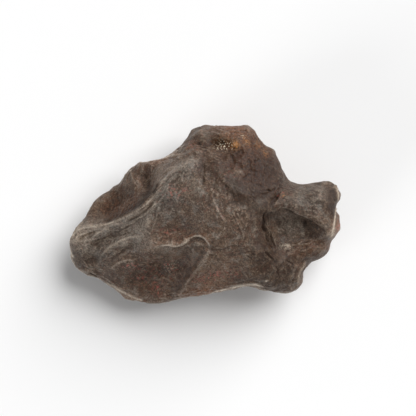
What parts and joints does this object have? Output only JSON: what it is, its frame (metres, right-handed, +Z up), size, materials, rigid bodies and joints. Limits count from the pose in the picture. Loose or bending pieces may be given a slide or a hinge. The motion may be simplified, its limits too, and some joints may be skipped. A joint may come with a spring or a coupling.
{
  "type": "iron meteorite",
  "caption": "Solid lump of nickel-iron with thumb-print hollows, a raised knob and a blunt arm, lying stably on its flatter side.",
  "frame": {"origin": "on the ground, under the middle of the stone's bounding box", "axes": "+X from the tapered end to the blunt arm, +Y towards the knob, +Z up"},
  "size_m": [0.163, 0.107, 0.06],
  "materials": {
    "weathered_iron": "matt dark brown oxide skin, rubbed paler on the crests"
  },
  "bodies": {
    "root": {"meteorite": "weathered_iron"}
  },
  "joints": []
}
